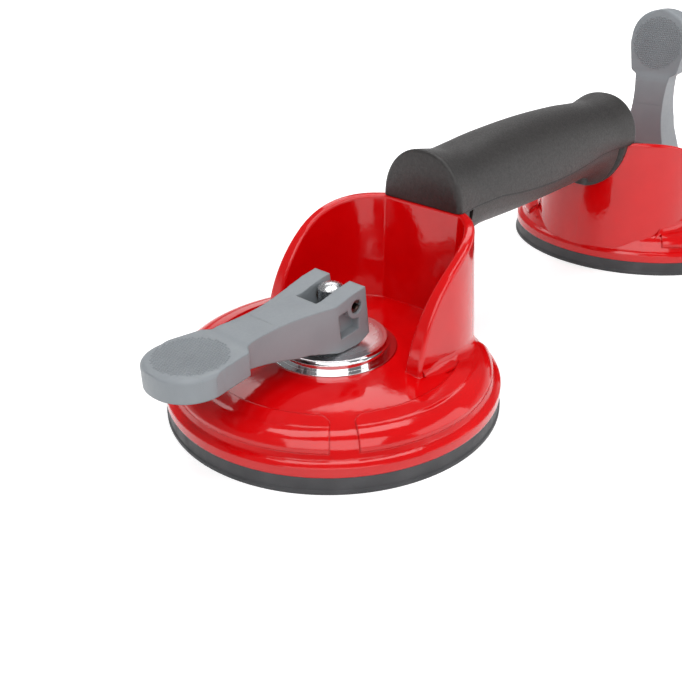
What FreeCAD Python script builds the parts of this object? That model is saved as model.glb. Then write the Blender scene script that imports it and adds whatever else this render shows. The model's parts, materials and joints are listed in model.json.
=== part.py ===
"""Double suction-cup lifter for floor tiles, in millimetres.

The origin is the centre of the front cup's sealing face, +X runs to the rear cup and +Z is up.
The front lever is locked down, with its pad's centre drawn up; the rear lever stands released.
"""
import FreeCAD, Part
import math
import os
import re

import Sketcher

Vector = FreeCAD.Vector
doc = FreeCAD.newDocument("tile_lifter")

# Name, value, meaning. Lengths are in millimetres and angles in degrees.
SIZES = (
    ("cup_pitch", 226, "centre to centre of the two cups"),
    ("stem_travel", 3, "rise of stem, plate and pad centre when a lever locks"),
    ("slide_fit", 0.05, "radial clearance of a running fit"),
    ("seat_gap", 0.2, "clearance between parts that only rest near each other"),
    # rubber pad
    ("pad_radius", 60, "outer radius of the pad"),
    ("pad_rim", 6.2, "height of the pad's rim"),
    ("pad_edge_taper", 0.4, "how much the rim narrows to its top"),
    ("pad_lip", 1.2, "height of the thin sealing lip at the foot of the rim"),
    ("land_width", 14, "width of the flat sealing land"),
    ("rim_width", 10.2, "width of the rim's top"),
    ("pad_web", 3, "thickness of the web between rim and hub"),
    ("pad_hub_wall", 2.7, "wall of the hub round the plate"),
    ("pad_floor", 1.8, "rubber below the plate"),
    ("pad_hub_lip", 0.8, "how far the hub stands above the plate"),
    ("plate_radius", 28, "radius of the steel plate"),
    ("plate_thickness", 2, "thickness of the steel plate"),
    ("plate_gap", 0.3, "clearance between plate and rubber"),
    # lifting stem, pin and spring
    ("stem_radius", 4.6, "radius of the stem"),
    ("stem_over_pin", 5.6, "stem top above the pin axis"),
    ("stem_crown", 1.8, "rise of the stem's domed head"),
    ("collar_radius", 7, "radius of the collar on the plate"),
    ("collar_height", 2, "height of the collar"),
    ("rivet_radius", 3, "riveted end of the stem in the plate"),
    ("pin_over_seat", 19.5, "pin axis above the washer's seat, lever locked"),
    ("pin_radius", 2.5, "radius of the pivot pin"),
    ("pin_bore", 1.3, "bore of the rolled pivot pin"),
    ("pin_slit", 0.9, "slit along the rolled pin"),
    ("pin_inset", 0.9, "how far the pin ends lie inside the ear faces"),
    ("coil_radius", 9.4, "mean radius of the return spring"),
    ("wire_side", 1.6, "side of the return spring's square wire"),
    ("coil_turns", 4, "turns of the return spring"),
    # housing: heights of the dome's steps are above the pad's rim
    ("dome_wall", 3, "wall of the casting's dome"),
    ("flange_inset", 0.2, "how far the flange stays inside the pad"),
    ("flange_height", 3.2, "height of the flange's edge"),
    ("step_inset", 1.5, "foot of the first step, inside the pad's edge"),
    ("step_height", 4.2, "height of the first step"),
    ("ledge_inset", 2.7, "inner end of the ledge"),
    ("ledge_height", 4.6, "height of the ledge"),
    ("band_inset", 3.7, "top of the upright band"),
    ("band_height", 6.6, "height of the upright band"),
    ("crest_inset", 10, "inner end of the rounded crest"),
    ("crest_height", 11.4, "height of the crest"),
    ("crest_round", 8.3, "rounding of the crest"),
    ("crown_radius", 26, "edge of the flat crown"),
    ("crown_height", 13.8, "height of the flat crown"),
    ("crown_round", 91, "curve of the dome between crest and crown"),
    ("cavity_inset", 7, "inner face of the dome at its mouth"),
    ("seat_depth", 0.7, "depth of the washer's seat in the crown"),
    ("guide_radius", 7, "radius of the stem guide under the crown"),
    ("guide_length", 4.2, "length of the stem guide under the crown"),
    ("panel_inset", 15, "inner edge of the raised panels"),
    ("panel_skirt", 3.2, "outer foot of the raised panels"),
    ("panel_step", 0.8, "height of the raised panels"),
    ("panel_swing", 87, "angle a raised panel covers"),
    ("panel_turn", 6.5, "angle from the side to the middle of the side panels"),
    ("panel_corner", 4, "rounding of the panels' inner corners"),
    # tower
    ("tower_top", 53.8, "top of the tower above the pad's rim"),
    ("tower_root", 3, "foot of the tower's walls above the pad's rim"),
    ("tower_radius", 35.8, "outer radius of the tower at its top"),
    ("tower_centre", 20.5, "centre of the tower's round"),
    ("tower_draft", 2.9, "draft of the casting"),
    ("wing_wall", 3.6, "wall of the wings at the top"),
    ("wing_sweep", 46, "radius of the wings' swept edge"),
    ("wing_lead", 0.7, "how far the sweep ends behind the chord wall"),
    ("wing_round", 1.2, "rounding of the wings' edge"),
    ("chord_wall", 47.6, "flat wall that faces the lever"),
    ("chord_round", 2, "rounding of the upright corners beside the flat wall"),
    # lug and screws
    ("lug_end", 84, "end of the lug inside the handle"),
    ("lug_half", 9, "half width of the lug"),
    ("lug_drop", 4, "underside of the lug below the tower's top"),
    ("lug_rise", 6, "top of the lug above the tower's top"),
    ("screw_near", 64, "first screw from the cup's centre"),
    ("screw_far", 78, "second screw from the cup's centre"),
    ("screw_radius", 2.5, "radius of the machine screws"),
    ("screw_gap", 0.25, "clearance round screws and nuts"),
    ("screw_seat", 6, "screw head's seat below the lug"),
    ("head_radius", 4.5, "radius of the screw heads"),
    ("head_height", 3.5, "height of the screw heads"),
    ("socket_across", 3.5, "hexagon socket across its corners"),
    ("socket_depth", 2, "depth of the socket"),
    ("nut_flats", 8, "nut across its flats"),
    ("nut_height", 4, "height of the nuts"),
    ("screw_boss", 6.5, "radius of the shells' screw bosses"),
    # handle: heights are above the tower's top
    ("grip_half", 17.2, "half width of the grip"),
    ("grip_end_top", 20, "top of the grip at its ends"),
    ("grip_neck", 14.4, "distance of the neck from the grip's end"),
    ("grip_neck_top", 19.3, "top of the grip at its necks"),
    ("grip_mid_top", 21, "top of the grip in the middle"),
    ("parting_sag", 2.5, "dip of the parting line in the middle"),
    ("parting_gap", 0.2, "open joint along the parting line in the middle"),
    ("shell_wall", 3, "wall of the handle's shells"),
    ("grip_edge", 1.6, "rounding of the grip's end"),
    ("belly_half", 16, "half width of the lower shell"),
    ("belly_end", 14.5, "depth of the lower shell beside the tongue"),
    ("belly_mid", 15.3, "depth of the lower shell in the middle"),
    ("tongue_half", 17, "half width of the tongue against the tower"),
    ("tongue_drop", 20.5, "foot of the tongue below the tower's top"),
    ("tongue_stand", 2.3, "thickness of the tongue at its foot"),
    ("tongue_root", 76, "where the tongue runs into the belly"),
    # thrust washer
    ("washer_radius", 22.8, "outer radius of the washer's flange"),
    ("washer_sheet", 0.9, "sheet thickness of the washer"),
    ("washer_wall", 20.6, "radius of the washer's upright wall"),
    ("washer_top", 19.4, "radius of the washer's flat top"),
    ("washer_height", 4.7, "height of the washer"),
    ("washer_round", 1.2, "rounding of the washer's rim"),
    ("washer_hole", 5.6, "hole of the washer"),
    # lever: measured from the pin axis, along the arm (towards the thumb pad) and up
    ("ear_half", 12, "half width of the lever at its ears"),
    ("slot_half", 4.8, "half width of the slot between the ears"),
    ("slot_end", 12, "end of the slot along the arm"),
    ("ear_back", 6.3, "back face of the ears at its widest"),
    ("ear_back_top", 4.3, "back face of the ears at the top"),
    ("ear_top", 6, "top of the ears' back edge"),
    ("ear_crest", 1.9, "end of the ears' back bevel"),
    ("ear_crest_top", 5.1, "height of the ears' bevel"),
    ("ear_front", 9.7, "end of the raised ears along the arm"),
    ("sole_front", 7.6, "front edge of the sole"),
    ("sole_flat", 0.5, "where the sole starts to clear the washer"),
    ("sole_heel", 2.6, "height of the heel above the sole"),
    ("sole_heel_mid", 1, "height of the sole halfway to the heel"),
    ("arm_top", 3.1, "top of the arm beside the ears"),
    ("arm_end_top", 1.3, "top of the arm at the thumb pad"),
    ("shoulder", 9, "where the ears' sides start to slant into the arm"),
    ("shoulder_drop", 1.3, "how far the slant brings the sides in"),
    ("arm_start", 14, "where the arm's waisted sides start"),
    ("arm_waist", 68, "radius of the arm's waisted sides"),
    ("arch_end", 20, "end of the arch in front of the sole"),
    ("arch_height", 11.8, "underside of the arm behind the arch"),
    ("arm_under", 10.8, "underside of the arm before the thumb pad"),
    ("arm_under_end", 55, "end of the arm's straight underside"),
    ("thumb_radius", 13.5, "radius of the thumb pad"),
    ("thumb_centre", 61.5, "centre of the thumb pad"),
    ("thumb_under", 7.8, "underside of the thumb pad"),
    ("thumb_round", 1.8, "rounding of the thumb pad's top edge"),
    ("lever_skin", 3, "skin of the lever's top over its hollow"),
    ("lever_wall", 2.4, "walls of the lever's hollow underside"),
    ("lever_rib", 2, "rib along the lever's hollow"),
    ("window_depth", 3.4, "depth of the windows in the ears"),
    ("boss_round", 4.2, "boss that the window leaves round the pin"),
)

sizes = doc.addObject("Spreadsheet::Sheet", "sizes")
for row, (name, value, meaning) in enumerate(SIZES, start=1):
    sizes.set("A%d" % row, name)
    sizes.set("B%d" % row, str(value))
    sizes.set("C%d" % row, meaning)
    sizes.setAlias("B%d" % row, name)
doc.recompute()
NAMES = {name for name, value, meaning in SIZES}

# Heights and places that several pieces share, all worked out from the sheet.
RIM = "pad_rim"
CROWN = "(pad_rim + crown_height)"
SEAT = "(pad_rim + crown_height - seat_depth)"
CEILING = "(pad_rim + crown_height - seat_depth - dome_wall)"
WASHER_TOP = SEAT + " + washer_height"
TOWER_TOP = "(pad_rim + tower_top)"
LUG_UNDER = "(pad_rim + tower_top - lug_drop)"
LUG_TOP = "(pad_rim + tower_top + lug_rise)"
HEAD_SEAT = "(pad_rim + tower_top - lug_drop - screw_seat)"
SOLE = "(washer_height + seat_gap - pin_over_seat)"
FLANGE = "(pad_radius - flange_inset)"
HUB = "(plate_radius + plate_gap + pad_hub_wall)"
HALF_PITCH = "(cup_pitch/2)"
LAND = "(pad_radius - land_width)"
CREST = "(pad_radius - crest_inset)"
PANEL_EDGE = "(pad_radius - panel_inset)"
CUPS = (("front", "stem_travel", 0), ("rear", "0", 90))


def expr(text):
    """The expression with every size name pointed at the sheet."""
    return re.sub(r"[a-z][a-z_]*", lambda word: "sizes." + word.group() if word.group() in NAMES
                  else word.group(), text)


def number(text):
    """The value of an expression now."""
    value = sizes.evalExpression(expr(text))
    return float(getattr(value, "Value", value))


def bind(thing, prop, text):
    thing.setExpression(prop, expr(text))


# Sketches and features

def new_body(label):
    body = doc.addObject("PartDesign::Body", label)
    body.Label = label
    return body


def origin_plane(body, role):
    return next(item for item in body.Origin.OriginFeatures if item.Role == role)


def fix_point(sketch, edge, end, across, up):
    """Hold one end (or the centre) of an edge at its place from the sketch's origin."""
    for kind, text in (("DistanceX", across), ("DistanceY", up)):
        index = sketch.addConstraint(Sketcher.Constraint(kind, -1, 1, edge, end, number(text)))
        bind(sketch, "Constraints[%d]" % index, text)


def fix_radius(sketch, edge, text):
    index = sketch.addConstraint(Sketcher.Constraint("Radius", edge, number(text)))
    bind(sketch, "Constraints[%d]" % index, text)


def arc_between(start, end, radius, bulge):
    """Minor arc between two points; bulge is 1 to the left of the way there, -1 to the right."""
    chord = end - start
    side = Vector(-chord.y, chord.x, 0).normalize() * bulge
    rise = radius - math.sqrt(max(radius ** 2 - (chord.Length / 2) ** 2, 0))
    return Part.Arc(start, (start + end) * 0.5 + side * rise, end)


def add_loop(sketch, corners):
    """Closed loop. A corner is (across, up), and (across, up, radius, bulge) starts an arc."""
    places = [Vector(number(corner[0]), number(corner[1]), 0) for corner in corners]
    edges = []
    for index, corner in enumerate(corners):
        start, end = places[index], places[(index + 1) % len(places)]
        if len(corner) == 2:
            edges.append((sketch.addGeometry(Part.LineSegment(start, end)), 1, 2))
        else:
            arc = sketch.addGeometry(arc_between(start, end, number(corner[2]), corner[3]))
            forward = (sketch.getPoint(arc, 1) - start).Length < (sketch.getPoint(arc, 2) - start).Length
            edges.append((arc, 1, 2) if forward else (arc, 2, 1))
    for index, (edge, head, tail) in enumerate(edges):
        before, _, before_tail = edges[index - 1]
        sketch.addConstraint(Sketcher.Constraint("Coincident", before, before_tail, edge, head))
        fix_point(sketch, edge, head, corners[index][0], corners[index][1])
        if len(corners[index]) == 4:
            fix_radius(sketch, edge, corners[index][2])


def add_circle(sketch, across, up, radius):
    circle = sketch.addGeometry(Part.Circle(Vector(number(across), number(up), 0),
                                            Vector(0, 0, 1), number(radius)))
    fix_point(sketch, circle, 3, across, up)
    fix_radius(sketch, circle, radius)


def new_sketch(body, name, role, lift="0", turn="0"):
    """Sketch on a plane of the body's own origin, lifted along its normal and turned upright."""
    sketch = body.newObject("Sketcher::SketchObject", name)
    sketch.AttachmentSupport = (origin_plane(body, role), [""])
    sketch.MapMode = "FlatFace"
    if turn != "0":
        sketch.AttachmentOffset = FreeCAD.Placement(Vector(0, 0, 0), Vector(0, 1, 0), number(turn))
        bind(sketch, "AttachmentOffset.Rotation.Angle", turn)
    bind(sketch, "AttachmentOffset.Base.z", lift)
    return sketch


def loop_sketch(body, name, role, loops, lift="0", turn="0"):
    sketch = new_sketch(body, name, role, lift, turn)
    for corners in loops:
        add_loop(sketch, corners)
    return sketch


def circle_sketch(body, name, role, circles, lift="0"):
    sketch = new_sketch(body, name, role, lift)
    for across, up, radius in circles:
        add_circle(sketch, across, up, radius)
    return sketch


def revolve(body, name, sketch, kind="Revolution", swing="360"):
    made = body.newObject("PartDesign::" + kind, name)
    made.Profile = sketch
    made.ReferenceAxis = (sketch, ["V_Axis"])
    bind(made, "Angle", swing)
    made.Midplane = swing != "360"
    return made


def extrude(body, name, kind, sketch, length, flip=False, both=False, taper=None):
    """Pad or Pocket; flip turns it round and both runs it half to each side."""
    made = body.newObject("PartDesign::" + kind, name)
    made.Profile = sketch
    made.SideType = "Symmetric" if both else "One side"
    made.Reversed = flip
    bind(made, "Length", length)
    if taper:
        bind(made, "TaperAngle", taper)
    return made


def loft(body, name, kind, sections):
    made = body.newObject("PartDesign::" + kind, name)
    made.Profile = sections[0]
    made.Sections = sections[1:]
    return made


def mirror(body, name, role, originals):
    made = body.newObject("PartDesign::Mirrored", name)
    made.Originals = originals
    made.MirrorPlane = (origin_plane(body, role), [""])
    body.Tip = made
    return made


def fillet(body, name, radius, wanted):
    """Round the edges of the body's last feature that pass the test."""
    doc.recompute()
    base = body.Tip
    edges = ["Edge%d" % (index + 1) for index, edge in enumerate(base.Shape.Edges) if wanted(edge)]
    made = body.newObject("PartDesign::Fillet", name)
    made.Base = (base, edges)
    bind(made, "Radius", radius)
    return made


def place(body, across="0", up="0", rotation=None):
    """Place a body and bind the place to the sheet."""
    body.Placement = FreeCAD.Placement(Vector(number(across), 0, number(up)),
                                       rotation or FreeCAD.Rotation())
    bind(body, "Placement.Base.x", across)
    bind(body, "Placement.Base.z", up)


HALF_TURN = FreeCAD.Rotation(Vector(0, 0, 1), 180)


def place_in_cup(body, cup, up="0"):
    """The rear cup is the front one turned half round at the cup pitch."""
    if cup == "rear":
        place(body, "cup_pitch", up, HALF_TURN)
    else:
        place(body, "0", up)


# Pieces of one cup

def make_pad(cup, lift):
    """Rubber disc: sealing lip, rim, web that rises to the hub, and a recess for the plate."""
    body = new_body(cup + "_pad")
    under = "(%s)" % lift
    hub_top = under + " + pad_floor + 2*plate_gap + plate_thickness + pad_hub_lip"
    recess = under + " + pad_floor"
    half_rise = "(%s)/2" % lift
    web_middle = "(%s + %s)/2" % (LAND, HUB)
    outer = [
        ("0", under),
        ("plate_radius", under),
        (web_middle, half_rise),
        (LAND, "0"),
        ("pad_radius", "0"),
        ("pad_radius", "pad_lip"),
        ("pad_radius - pad_edge_taper", "pad_lip + pad_edge_taper"),
        ("pad_radius - pad_edge_taper", RIM),
        ("pad_radius - rim_width", RIM),
        (LAND, "pad_web"),
        (web_middle, half_rise + " + pad_web"),
        (HUB, under + " + pad_web"),
        (HUB, hub_top),
        ("plate_radius + plate_gap", hub_top),
        ("plate_radius + plate_gap", recess),
        ("0", recess),
    ]
    revolve(body, cup + "_pad_turn", loop_sketch(body, cup + "_pad_profile", "XZ_Plane", [outer]))
    place_in_cup(body, cup)
    return body


def plate_under(lift):
    return "(%s + pad_floor + plate_gap)" % lift


def make_plate(cup, lift):
    """Steel disc in the pad's hub, with the hole the stem is riveted in."""
    body = new_body(cup + "_pad_plate")
    low = plate_under(lift)
    ring = [
        ("rivet_radius", low),
        ("plate_radius", low),
        ("plate_radius", low + " + plate_thickness"),
        ("rivet_radius", low + " + plate_thickness"),
    ]
    revolve(body, cup + "_plate_turn", loop_sketch(body, cup + "_plate_profile", "XZ_Plane", [ring]))
    place_in_cup(body, cup)
    return body


def pin_height(lift):
    """Pin axis above the sealing face: the locked height less what the stem has dropped."""
    return "(%s + pin_over_seat + (%s) - stem_travel)" % (SEAT, lift)


def make_stem(cup, lift):
    """Round stem: riveted end, collar on the plate, domed head, eye for the pivot pin."""
    body = new_body(cup + "_lifting_stem")
    low = plate_under(lift)
    collar = low + " + plate_thickness"
    top = pin_height(lift) + " + stem_over_pin"
    crown_round = "((stem_radius^2 + stem_crown^2) / (2*stem_crown))"
    profile = [
        ("0", low),
        ("rivet_radius", low),
        ("rivet_radius", collar),
        ("collar_radius", collar),
        ("collar_radius", collar + " + collar_height"),
        ("stem_radius", collar + " + collar_height"),
        ("stem_radius", top + " - stem_crown", crown_round, -1),
        ("0", top),
    ]
    revolve(body, cup + "_stem_turn", loop_sketch(body, cup + "_stem_profile", "XZ_Plane", [profile]))
    eye = circle_sketch(body, cup + "_stem_eye", "XZ_Plane",
                        [("0", pin_height(lift), "pin_radius + slide_fit")])
    extrude(body, cup + "_stem_bore", "Pocket", eye, "4*stem_radius", both=True)
    place_in_cup(body, cup)
    return body


def make_spring(cup, lift):
    """Return spring round the stem guide, between the plate and the crown's underside."""
    body = new_body(cup + "_return_spring")
    low = "(%s + plate_thickness + seat_gap)" % plate_under(lift)
    high = "(%s - wire_side - seat_gap)" % CEILING
    section = [
        ("coil_radius - wire_side/2", low),
        ("coil_radius + wire_side/2", low),
        ("coil_radius + wire_side/2", low + " + wire_side"),
        ("coil_radius - wire_side/2", low + " + wire_side"),
    ]
    wire = loop_sketch(body, cup + "_spring_wire", "XZ_Plane", [section])
    coil = body.newObject("PartDesign::AdditiveHelix", cup + "_spring_coil")
    coil.Profile = wire
    coil.ReferenceAxis = (wire, ["V_Axis"])
    coil.Mode = "height-turns-angle"
    bind(coil, "Height", high + " - " + low)
    bind(coil, "Turns", "coil_turns")
    place_in_cup(body, cup)
    return body


def tower_outline(grow, back):
    """U in plan at the tower's top: straight sides and a half round towards the handle."""
    radius = "(tower_radius + %s)" % grow
    return [
        (back, "-" + radius),
        ("tower_centre", "-" + radius, radius, -1),
        ("tower_centre + " + radius, "0", radius, -1),
        ("tower_centre", radius),
        (back, radius),
    ]


def middle_of(edge):
    return edge.valueAt((edge.FirstParameter + edge.LastParameter)/2)


def on_chord_corners(edge):
    """Upright corners between the flat wall and the wings' inner faces."""
    box, middle = edge.BoundBox, middle_of(edge)
    beside = abs(middle.x - number("chord_wall")) < number("wing_wall")
    inside = abs(middle.y) < number("tower_radius - wing_wall")
    return box.ZLength > number("tower_top/2") and beside and inside and middle.x < number("lug_end")


def on_wing_rims(edge):
    """Long edges of the wings' swept rims; the rounding runs on round the tower's top."""
    middle = middle_of(edge)
    across = middle.x - number("chord_wall + wing_lead")
    miss = math.hypot(across, middle.z - number(TOWER_TOP + " - wing_sweep")) - number("wing_sweep")
    return abs(miss) < 0.01 and edge.Length > number("wing_sweep/2")


def on_panel_corners(edge):
    """Upright corners at the inner edge of the raised panels."""
    box, middle = edge.BoundBox, middle_of(edge)
    upright = box.XLength < 0.01 and box.YLength < 0.01
    return upright and abs(math.hypot(middle.x, middle.y) - number(PANEL_EDGE)) < 0.01


def make_housing(cup, lift):
    """Casting: U tower with swept wings on a stepped dome, hollow below, with the handle's lug."""
    body = new_body(cup + "_housing")
    tower_depth = "tower_top - tower_root"

    walls = loop_sketch(body, cup + "_tower_plan", "XY_Plane",
                        [tower_outline("0", "chord_wall + wing_lead - wing_sweep")], lift=TOWER_TOP)
    extrude(body, cup + "_tower", "Pad", walls, tower_depth, flip=True, taper="tower_draft")

    inside = "(tower_radius - wing_wall)"
    half_chord = "sqrt(%s^2 - (chord_wall - tower_centre)^2)" % inside
    pocket = [
        ("-wing_sweep", "-" + inside),
        ("tower_centre", "-" + inside, inside, -1),
        ("chord_wall", "-" + half_chord),
        ("chord_wall", half_chord, inside, -1),
        ("tower_centre", inside),
        ("-wing_sweep", inside),
    ]
    hollow = loop_sketch(body, cup + "_tower_hollow", "XY_Plane", [pocket], lift=TOWER_TOP)
    extrude(body, cup + "_tower_pocket", "Pocket", hollow, tower_depth, taper="-tower_draft/2")
    fillet(body, cup + "_chord_rounding", "chord_round", on_chord_corners)

    sweep_low = "(%s - wing_sweep)" % TOWER_TOP
    sweep_end = "(chord_wall + wing_lead)"
    outside = [
        (sweep_end + " - wing_sweep", sweep_low, "wing_sweep", 1),
        (sweep_end, TOWER_TOP),
        (sweep_end, TOWER_TOP + " + wing_wall"),
        ("-wing_sweep", TOWER_TOP + " + wing_wall"),
        ("-wing_sweep", sweep_low),
    ]
    wings = loop_sketch(body, cup + "_wing_side", "XZ_Plane", [outside])
    extrude(body, cup + "_wing_cut", "Pocket", wings, "3*tower_radius", both=True)
    fillet(body, cup + "_wing_rounding", "wing_round", on_wing_rims)

    dome = [
        ("0", RIM),
        (FLANGE, RIM),
        (FLANGE, RIM + " + flange_height"),
        ("pad_radius - step_inset", RIM + " + step_height"),
        ("pad_radius - ledge_inset", RIM + " + ledge_height"),
        ("pad_radius - band_inset", RIM + " + band_height", "crest_round", -1),
        (CREST, RIM + " + crest_height", "crown_round", -1),
        ("crown_radius", CROWN),
        ("washer_radius + seat_gap", CROWN),
        ("washer_radius + seat_gap", SEAT),
        ("0", SEAT),
    ]
    revolve(body, cup + "_dome", loop_sketch(body, cup + "_dome_profile", "XZ_Plane", [dome]))

    panel = [
        ("pad_radius - panel_skirt", RIM + " + band_height"),
        ("pad_radius - panel_skirt", RIM + " + band_height + 2*panel_step", "crest_round", -1),
        (CREST, RIM + " + crest_height + panel_step", "crown_round", -1),
        (PANEL_EDGE, RIM + " + crest_height + 2.4*panel_step"),
        (PANEL_EDGE, RIM + " + band_height"),
    ]
    for side, turn in (("near", "-90 + panel_turn"), ("far", "90 - panel_turn"), ("end", "180")):
        name = "%s_%s_panel" % (cup, side)
        panel_sketch = loop_sketch(body, name + "_profile", "XZ_Plane", [panel], turn=turn)
        revolve(body, name, panel_sketch, swing="panel_swing")
    fillet(body, cup + "_panel_rounding", "panel_corner", on_panel_corners)

    lug = [
        ("chord_wall + wing_wall", "-lug_half"),
        ("lug_end", "-lug_half"),
        ("lug_end", "lug_half"),
        ("chord_wall + wing_wall", "lug_half"),
    ]
    lug_sketch = loop_sketch(body, cup + "_lug_plan", "XY_Plane", [lug], lift=LUG_UNDER)
    extrude(body, cup + "_lug", "Pad", lug_sketch, "lug_drop + lug_rise")
    holes = circle_sketch(body, cup + "_lug_holes", "XY_Plane",
                          [("screw_near", "0", "screw_radius + screw_gap"),
                           ("screw_far", "0", "screw_radius + screw_gap")], lift=LUG_TOP)
    extrude(body, cup + "_lug_bores", "Pocket", holes, "lug_drop + lug_rise + dome_wall")

    crest_inner = RIM + " + crest_height - dome_wall"
    cavity = [
        ("stem_radius + slide_fit", RIM + " - dome_wall"),
        ("pad_radius - cavity_inset", RIM + " - dome_wall"),
        ("pad_radius - cavity_inset", RIM + " + ledge_height"),
        (CREST, crest_inner, "crown_round", -1),
        ("crown_radius", CEILING),
        ("guide_radius", CEILING),
        ("guide_radius", CEILING + " - guide_length"),
        ("stem_radius + slide_fit", CEILING + " - guide_length"),
    ]
    revolve(body, cup + "_cavity", loop_sketch(body, cup + "_cavity_profile", "XZ_Plane", [cavity]),
            kind="Groove")
    bore = circle_sketch(body, cup + "_guide_hole", "XY_Plane",
                         [("0", "0", "stem_radius + slide_fit")], lift=CROWN)
    extrude(body, cup + "_guide_bore", "Pocket", bore, CROWN)
    place_in_cup(body, cup)
    return body


def make_washer(cup, lift):
    """Dished steel washer: flat flange, rolled rim, upright wall and a flat top with a hole."""
    body = new_body(cup + "_thrust_washer")
    top = WASHER_TOP
    profile = [
        ("washer_wall - washer_sheet", SEAT),
        ("washer_radius", SEAT),
        ("washer_radius", SEAT + " + washer_sheet"),
        ("washer_wall", SEAT + " + washer_sheet"),
        ("washer_wall", top + " - washer_round", "washer_round", 1),
        ("washer_wall - washer_round", top),
        ("washer_top - washer_round", top + " - seat_gap/2"),
        ("washer_hole", top + " - seat_gap/2"),
        ("washer_hole", top + " - washer_sheet"),
        ("washer_wall - washer_sheet - washer_round", top + " - washer_sheet"),
        ("washer_wall - washer_sheet", top + " - washer_sheet - washer_round"),
    ]
    revolve(body, cup + "_washer_turn", loop_sketch(body, cup + "_washer_profile", "XZ_Plane",
                                                    [profile]))
    place_in_cup(body, cup)
    return body


def place_on_pin(body, cup, lift, swing):
    """Put a piece that is modelled about the pin axis on its pin, turned by the lever's swing."""
    turn = FreeCAD.Rotation(Vector(0, 1, 0), swing)
    if cup == "rear":
        place(body, "cup_pitch", pin_height(lift), HALF_TURN.multiply(turn))
    else:
        place(body, "0", pin_height(lift), turn)


def lever_plan(inset, start):
    """Plan of the arm and thumb pad: waisted sides and a round end, inset by a wall."""
    half = "(ear_half - %s)" % inset
    thumb = "(thumb_radius - %s)" % inset
    return [
        ("-" + start, "-" + half),
        ("-" + start, half),
        ("-shoulder", half),
        ("-arm_start", half + " - shoulder_drop", "arm_waist", 1),
        ("-thumb_centre", thumb, thumb, -1),
        ("-thumb_centre - " + thumb, "0", thumb, -1),
        ("-thumb_centre", "-" + thumb, "arm_waist", 1),
        ("-arm_start", "-%s + shoulder_drop" % half),
        ("-shoulder", "-" + half),
    ]


def on_thumb_rim(edge):
    """Top edge of the thumb pad's round end."""
    box = edge.BoundBox
    top = number("arm_end_top")
    return box.ZLength < 0.01 and abs(box.ZMin - top) < 0.01 and box.XMax < number("1 - thumb_centre")


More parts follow.
